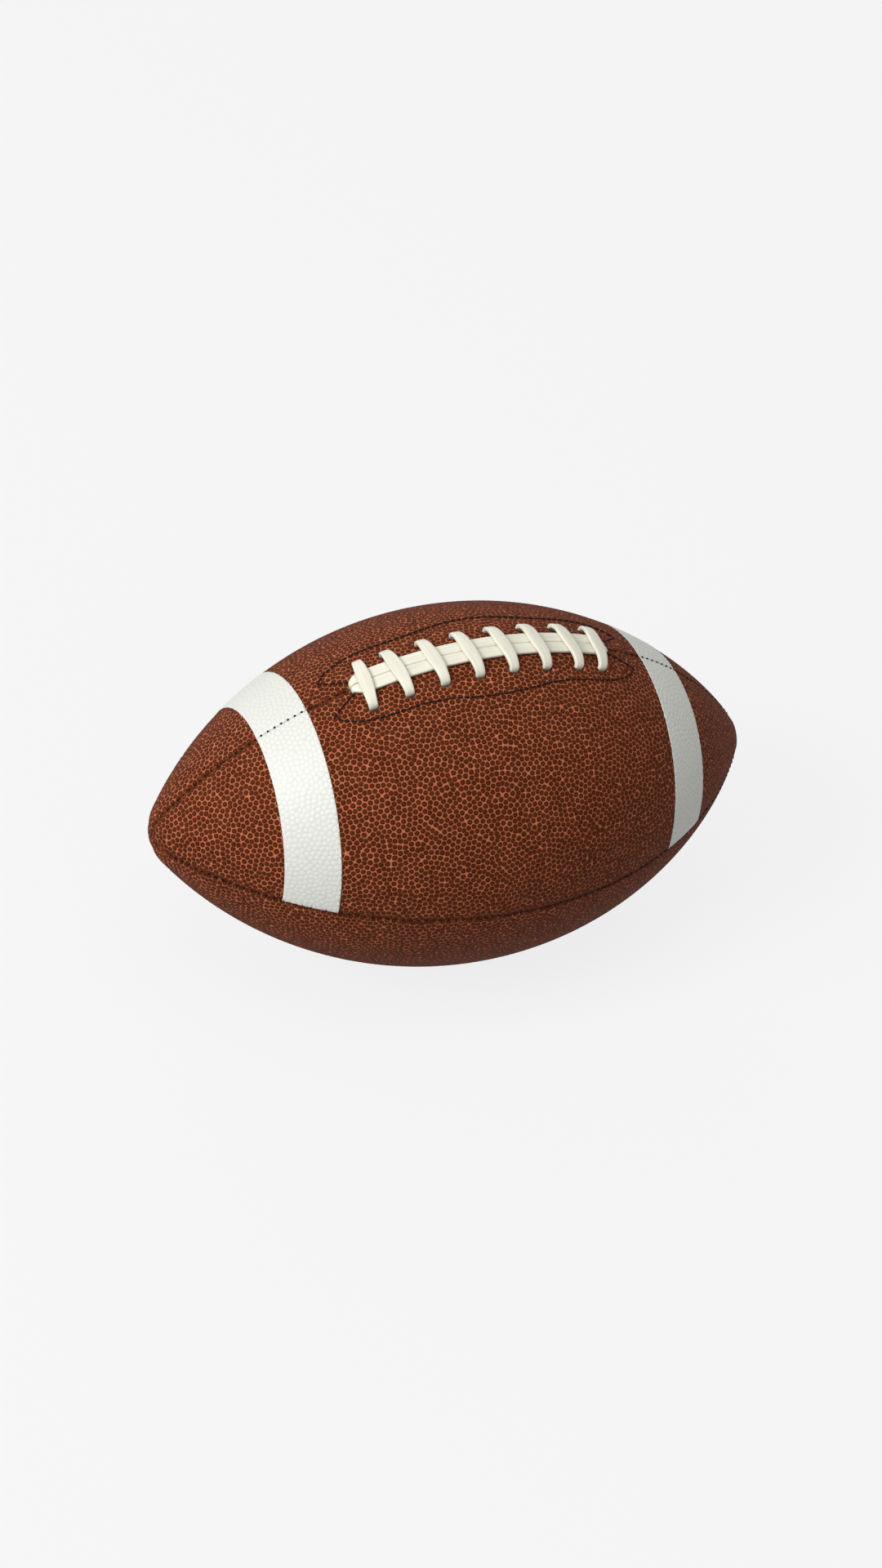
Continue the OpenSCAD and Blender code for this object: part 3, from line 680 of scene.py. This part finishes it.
# Half a cross pass, as shares of the way from the seam to a hole and of its height over the seam
crossShares = [(0.15, 1), (0.46, 0.99), (0.68, 0.84), (0.87, 0.52), (0.98, 0.1), (1, -0.6)]
# An inner pass, as shares of the way from one hole to the next and of its depth
innerShares = [(0.04, 0.93), (0.15, 1), (0.5, 1), (0.85, 1), (0.96, 0.93)]
# A tail under the backing, as shares of its length and of its depth, at the lace's start and at its end
startShares, endShares = [(1, 1), (0.4, 1), (0.1, 0.9)], [(0.1, 0.95), (0.4, 1), (1, 1)]
# A strand goes flat and narrowing into the keyhole, and turns on edge below the leather: place along the
# ball, distance from the seam, height (over the surface a share of the strand's), draw, share of the turn
divePlaces = [
    (56.3, 2.85, 1.0, 0.3, 0), (58.4, 2.2, 0.95, 1.1, 0), (59.6, 1.65, 0.45, 1.8, 0),
    (59.9, 1.55, -0.4, 1.9, 0), (60.2, 1.5, -2.2, 1.5, 0.5), (innerX, innerS, -3.4, 1, 1),
]


def station(x, s, h, turn, draw, wide):
    # a place on the route: along the ball, off the seam, height, turn, half width and half thickness
    halfWidth = (wide + draw * (lace["drawnWidth"] - wide)) / 2
    return np.array([x, s, h, turn, halfWidth, (thick + draw * (drawnThick - thick)) / 2])


def crossPass(i):
    middle, skew = (rearRow[i] + frontRow[i]) / 2, (rearRow[i] - frontRow[i]) / 2
    stations = []
    for side, shares in ((1, crossShares[::-1]), (-1, crossShares)):
        for a, h in shares:
            draw = min(1, max(0, (a - lace["drawFrom"]) / lace["drawOver"]))
            x, s = middle + side * a * skew, side * a * rowS
            stations.append(station(x, s, h * crossH, 360, draw, lace["crossWidth"]))
    return stations


def innerPass(x1, s1, x2, s2):
    turn = -math.degrees(math.atan2(x2 - x1, s2 - s1))
    stations = []
    for a, h in innerShares:
        along = min(1, 4 - abs(8 * a - 4))  # turned along its way, but for its first and last eighth
        x, s = x1 + a * (x2 - x1), s1 + a * (s2 - s1)
        stations.append(station(x, s, h * innerH, 360 + along * turn, 1 - along, lace["crossWidth"]))
    return stations


def dive(end, side, turn, gain):
    return [station(end * x, side * s, h * strandH if h > 0 else h, turn + c * gain, draw, strandWidth)
            for x, s, h, draw, c in divePlaces]


def strand(side, turn):
    steps = lace["strandSteps"]
    places = [(2 * i / steps - 1) * lace["strandX"] for i in range(steps + 1)]
    return [station(x, side * strandS, strandH, turn, 0, strandWidth) for x in places]


def tailStation(x, s, a, h, turn, side):
    return station(x, side * a * lace["tail"] * thick + s, h * innerH, turn, 1, lace["crossWidth"])


# From the tail at the left keyhole along the front strand, round inside, back along the rear strand and
# then over the crosses to the tail at the right
turnH = innerH - thick / 2 + drawnThick / 2 + innerS
route = [tailStation(-innerX, -innerS, a, h, 0, -1) for a, h in startShares]
route += dive(-1, -1, 90, -90)[::-1] + strand(-1, 90) + dive(1, -1, 90, 90)
for angle in range(-60, 61, 30):
    sine, cosine = math.sin(math.radians(angle)), math.cos(math.radians(angle))
    route.append(station(innerX, innerS * sine, turnH - innerS * cosine, 180, 1, strandWidth))
route += dive(1, 1, 270, -90)[::-1] + strand(1, 270)[::-1] + dive(-1, 1, 270, 90)
route += innerPass(-innerX, innerS, rearRow[0], rowS)
for i in range(8):
    route += crossPass(i)
    if i < 7:
        route += innerPass(frontRow[i], -rowS, rearRow[i + 1], rowS)
route += [tailStation(frontRow[7], -rowS, a, h, 360, 1) for a, h in endShares]


def splined(stations, steps):
    # a smooth curve through the stations
    out = []
    for i in range(len(stations) - 1):
        a, b, c, d = (stations[min(max(i + k, 0), len(stations) - 1)] for k in (-1, 0, 1, 2))
        bend, twist = 2 * a - 5 * b + 4 * c - d, 3 * b - a - 3 * c + d
        for t in np.arange(steps) / steps:
            out.append(0.5 * (2 * b + (c - a) * t + bend * t**2 + twist * t**3))
    return np.array(out + [stations[-1]])


def sweepFrames(stations):
    # middle, width and thickness directions along a route on the ball, in millimetres, and the way ahead
    x, s, h, turn = stations[:, 0], stations[:, 1], stations[:, 2], np.radians(stations[:, 3])
    r = np.sqrt(arcR**2 - x**2) - arcSink
    a, up, lean = s / r, (r + arcSink) / arcR, x / arcR
    rho = r + h * up
    middle = np.stack([x + h * lean, rho * np.sin(a), rho * np.cos(a) + midHeight], 1)
    wide = (np.cos(turn)[:, None] * np.stack([up, -lean * np.sin(a), -lean * np.cos(a)], 1)
            + np.sin(turn)[:, None] * np.stack([0 * a, np.cos(a), -np.sin(a)], 1))
    ahead = np.gradient(middle, axis=0)
    ahead /= np.linalg.norm(ahead, axis=1)[:, None]
    side = wide - (wide * ahead).sum(1)[:, None] * ahead
    side /= np.linalg.norm(side, axis=1)[:, None]
    return middle, side, np.cross(ahead, side), ahead


def lengthsAlong(middle):
    return np.concatenate([[0], np.cumsum(np.linalg.norm(np.diff(middle, axis=0), axis=1))])


def sweptStrap(stations):
    # a grid rolled up to a strap with flat faces and full edges
    middle, side, up, ahead = sweepFrames(stations)
    length, rings, sides = lengthsAlong(middle), len(stations), lace["sides"]
    lineLength, lineWidth = lace["lineLength"], lace["lineWidth"]
    bm = bmesh.new()
    bmesh.ops.create_grid(bm, x_segments=rings - 1, y_segments=sides, size=0.5)
    strapWay = bm.verts.layers.float_vector.new("strapWay")
    for v in bm.verts:
        ring, k = round((v.co.x + 0.5) * (rings - 1)), round((v.co.y + 0.5) * sides)
        angle = 2 * math.pi * k / sides - quarter
        cosine, sine = math.cos(angle), math.sin(angle)
        across = math.copysign(abs(cosine) ** (2 / lace["roundness"]), cosine) * stations[ring, 4]
        over = math.copysign(abs(sine) ** (2 / lace["roundness"]), sine) * stations[ring, 5]
        v.co = (middle[ring] + across * side[ring] + over * up[ring]) * mm
        v[strapWay] = (length[ring] / lineLength, across / lineWidth, over / lineWidth)
    bmesh.ops.remove_doubles(bm, verts=bm.verts, dist=0.01 * mm)
    bmesh.ops.holes_fill(bm, edges=[e for e in bm.edges if e.is_boundary], sides=0)
    bmesh.ops.recalc_face_normals(bm, faces=bm.faces)
    return bm


finishPiece(sweptStrap(splined(route, lace["steps"])), "laceStrap", laceVinyl, "lace_vinyl", "lace")


# Stitches, in millimetres: short dashes of thread that dip into the leather
stitching = {
    "pitch": 3.3, "length": 1.1, "radius": 0.46, "depth": 0.28, "endGap": 1.5, "keyholeGap": 2,
    "inkRadius": 0.56, "inkDepth": 0.1,  # where the thread stands out of a stripe's ink
    "outlineX": 71.5, "outlineS": 24.5, "outlinePitch": 3.1, "outlineDash": 0.94, "outlineRadius": 0.42,
    "outlineHeight": 0.2, "outlineSteps": 12,
}


def addDash(bm, middle, ahead, out, length, radius):
    across = out.cross(ahead)
    columns = [ahead * length / 2, across * radius, out * radius, middle]
    matrix = Matrix([[column[row] for column in columns] for row in range(3)] + [[0, 0, 0, 1]])
    matrix = matrix @ Matrix.Rotation(quarter, 4, "Y")
    made = bmesh.ops.create_uvsphere(bm, u_segments=6, v_segments=5, radius=1, matrix=matrix)
    for v in made["verts"]:
        v.co.z = max(v.co.z, 0)


def seamDashes(around, first, last, onTop):
    # a seam's row of stitches between two ways from the middle
    bm = bmesh.new()
    count = int((last - first) / stitching["pitch"])
    for k in range(count + 1):
        u = first + (last - first) * k / count
        inked = onTop and stripe["from"] < abs(outline(u)[0]) < stripe["to"]
        depth = stitching["inkDepth" if inked else "depth"]
        radius = stitching["inkRadius" if inked else "radius"]
        back, middle, front = onBall(np.array([u - 0.5, u, u + 0.5]), np.full(3, around), np.full(3, depth))
        outer = onBall(np.array([u]), np.array([around]), np.array([0.0]))[0]
        ahead, out = Vector(front - back).normalized(), Vector(outer - middle).normalized()
        addDash(bm, Vector(middle), ahead, out, stitching["length"] * mm, radius * mm)
    return bm


seamEnd = uAt(ball["length"] / 2 - pointR / 4) - stitching["endGap"]
laceEnd = uAt(lacing["keyholeX"] + lacing["keyholeRadius"] + stitching["keyholeGap"])
seams = {
    "rear": (0, -seamEnd, seamEnd), "front": (math.pi, -seamEnd, seamEnd),
    "bottom": (3 * quarter, -seamEnd, seamEnd),
    "top_left": (quarter, -seamEnd, -laceEnd), "top_right": (quarter, laceEnd, seamEnd),
}
for name, (around, first, last) in seams.items():
    bm = seamDashes(around, first, last, "top" in name)
    pieceName = "seamStitches" + name.title().replace("_", "")
    finishPiece(bm, pieceName, seamThread, "seam_thread", "seam_thread_" + name)

# The stitched outline on one side of the seam, as shares of its half length and of its half width
outlineShares = [
    (-0.835, 0.14), (-0.885, 0.21), (-0.94, 0.31), (-0.985, 0.40), (-0.99, 0.46), (-0.93, 0.62),
    (-0.82, 0.76), (-0.68, 0.82), (-0.50, 0.83), (-0.34, 0.88), (-0.16, 0.97), (0, 1), (0.16, 0.97),
    (0.34, 0.88), (0.50, 0.83), (0.68, 0.82), (0.82, 0.76), (0.93, 0.62), (0.99, 0.46), (0.985, 0.40),
    (0.94, 0.31), (0.885, 0.21), (0.835, 0.14),
]


def outlineDashes(end):
    # the outline's row of stitches on the front panel for end -1, and on the rear one for 1
    halfX, halfS, height = stitching["outlineX"], stitching["outlineS"], stitching["outlineHeight"]
    path = splined([np.array([a * halfX, end * b * halfS, height, 90.0]) for a, b in outlineShares],
                   stitching["outlineSteps"])
    middle, side, up, ahead = sweepFrames(path)
    length = lengthsAlong(middle)
    count = round(length[-1] / stitching["outlinePitch"])
    dash = stitching["outlinePitch"] * stitching["outlineDash"] * mm
    radius = stitching["outlineRadius"] * mm
    bm = bmesh.new()
    for k in range(count):
        way = length[-1] * (k + 0.5) / count
        spot, toward, out = (Vector([np.interp(way, length, part[:, axis]) for axis in range(3)])
                             for part in (middle, ahead, up))
        addDash(bm, spot * mm, toward.normalized(), out.normalized(), dash, radius)
    return bm


for end, word in ((-1, "front"), (1, "rear")):
    pieceName = "backingStitches" + word.title()
    finishPiece(outlineDashes(end), pieceName, seamThread, "stitch_thread", "backing_stitches_" + word)
print("lace and stitches laid")


# The floor, the world and the lamps
room = {
    "halfWidth": 12,  # of the floor, in metres
    "sink": 0.05,  # of the floor, in millimetres
    "aim": (0, 0, 0.08),  # what the lamps point at, in metres
    "paper": "#b4b4b4", "paperRough": 0.9, "emit": 0.8, "glow": 1.035, "world": 0.155, "background": 0.91,
}


def seenBackground(tree):
    # one where the camera, or a gloss or glass that it looks at, sees the background
    rays = addNode(tree, "ShaderNodeLightPath", {}).outputs
    seen = rays["Is Camera Ray"]
    for word in ("Is Glossy Ray", "Is Transmission Ray"):
        seen = mathOf(tree, "MAXIMUM", seen, rays[word])
    return seen


floor = bpy.data.objects.new("floor", bpy.data.meshes.new("floor"))
bpy.context.collection.objects.link(floor)
bm = bmesh.new()
sunk = Matrix.Translation((0, 0, -room["sink"] * mm))  # a hair low, so that no face lies in the floor
bmesh.ops.create_grid(bm, x_segments=1, y_segments=1, size=room["halfWidth"], matrix=sunk)
bm.to_mesh(floor.data)
bm.free()

# Pale paper that shows the background's own level and keeps the ball's shadow
palePaper, tree, shader = newMaterial("palePaper")
shader.inputs["Base Color"].default_value = linear(room["paper"])
shader.inputs["Roughness"].default_value = room["paperRough"]
glow = addNode(tree, "ShaderNodeEmission", {"Strength": room["glow"]}).outputs["Emission"]
share = mathOf(tree, "MULTIPLY", seenBackground(tree), room["emit"])
inputs = {0: share, 1: shader.outputs["BSDF"], 2: glow}
mixed = addNode(tree, "ShaderNodeMixShader", inputs).outputs["Shader"]
tree.links.new(mixed, tree.nodes["Material Output"].inputs["Surface"])
floor.data.materials.append(palePaper)

world = bpy.data.worlds.new("studio")
bpy.context.scene.world = world
world.use_nodes = True
tree = world.node_tree
back = tree.nodes["Background"]
back.inputs["Color"].default_value = (1, 1, 1, 1)
strength = rangeOf(tree, seenBackground(tree), room["world"], room["background"])
tree.links.new(strength, back.inputs["Strength"])

lamps = {  # place and width in metres, and watts
    "keyBox": ((-2.9, -0.5, 2.3), 1.8, 108), "topBox": ((-0.2, -0.2, 3.6), 2.4, 37),
    "fillBox": ((1.8, -3.2, 1.8), 2.4, 8), "backBox": ((0.4, 3.2, 1.8), 2.4, 14),
}
for name, (place, width, watts) in lamps.items():
    data = bpy.data.lights.new(name, "AREA")
    data.shape, data.size, data.size_y, data.energy = "RECTANGLE", width, width, watts
    lamp = bpy.data.objects.new(name, data)
    bpy.context.collection.objects.link(lamp)
    lamp.location = place
    lamp.rotation_mode = "QUATERNION"
    lamp.rotation_quaternion = (Vector(room["aim"]) - Vector(place)).to_track_quat("-Z", "Y")
bpy.context.scene.view_settings.view_transform = "Standard"
print("lights set")
